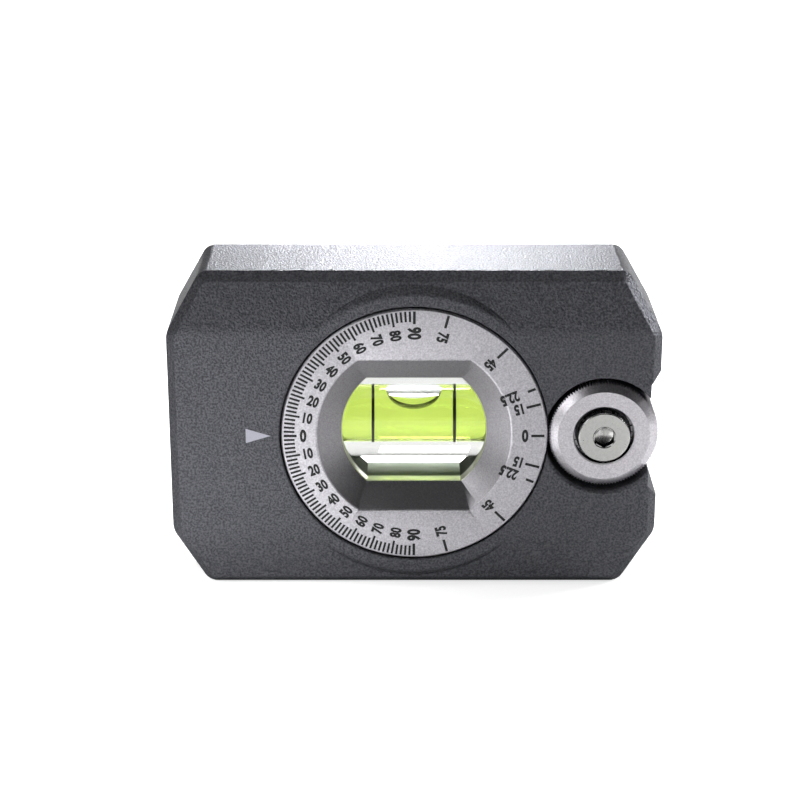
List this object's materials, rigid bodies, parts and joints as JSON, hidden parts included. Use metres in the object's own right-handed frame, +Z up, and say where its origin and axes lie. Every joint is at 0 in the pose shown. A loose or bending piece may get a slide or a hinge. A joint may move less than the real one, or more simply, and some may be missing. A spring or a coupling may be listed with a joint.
{
  "type": "magnetic angle level",
  "caption": "Chunky eight-sided block level with a magnetic base and a turning graduated dial that carries a spirit vial and is driven by a knurled thumbwheel.",
  "frame": {"origin": "centre of the flat base, on the surface it rests on", "axes": "+X along the block towards the thumbwheel, +Y from the dial's front face to the back, +Z up"},
  "size_m": [0.1, 0.028, 0.068],
  "materials": {
    "block_finish": "dark grey finely textured coat on milled aluminium",
    "satin_aluminium": "bead-blasted and clear anodised",
    "stainless": "turned stainless steel",
    "magnet": "nickel-plated magnet",
    "white_plastic": "low-friction plastic",
    "black_anodised": "black anodised",
    "rubber": "black rubber",
    "clear_acrylic": "polished clear acrylic",
    "green_spirit": "yellow-green coloured spirit",
    "black_ink": "black"
  },
  "bodies": {
    "block": {"body": "block_finish", "base_magnet_1": "magnet", "base_magnet_2": "magnet", "base_magnet_3": "magnet", "base_magnet_4": "magnet", "front_glide_ring": "white_plastic", "rear_glide_ring": "white_plastic", "rear_lock_ring": "black_anodised", "wheel_screw": "stainless", "wheel_insert": "stainless", "wave_washer": "stainless"},
    "dial": {"dial_face": "satin_aluminium", "drive_ring": "black_anodised", "dial_back": "satin_aluminium", "friction_ring": "rubber", "dial_screw_1": "stainless", "dial_screw_2": "stainless", "dial_screw_3": "stainless", "dial_screw_4": "stainless", "vial_barrel": "clear_acrylic", "spirit": "green_spirit", "vial_cap_left": "white_plastic", "vial_cap_right": "white_plastic", "reading_ring_left": "black_ink", "reading_ring_right": "black_ink", "vial_cushion_left": "rubber", "vial_cushion_right": "rubber"},
    "wheel": {"thumb_wheel": "satin_aluminium", "wheel_bush": "stainless"}
  },
  "joints": [
    {"name": "dial_turn", "type": "hinge", "parent": "block", "child": "dial", "pos_m": [0, 0, 0.034], "axis": [0, 1, 0], "continuous": true},
    {"name": "wheel_turn", "type": "hinge", "parent": "block", "child": "wheel", "pos_m": [0.0387, 0, 0.034], "axis": [0, 1, 0], "continuous": true}
  ],
  "couplings": [
    {"joint": "wheel_turn", "follows": "dial_turn", "ratio": -2.4865}
  ]
}
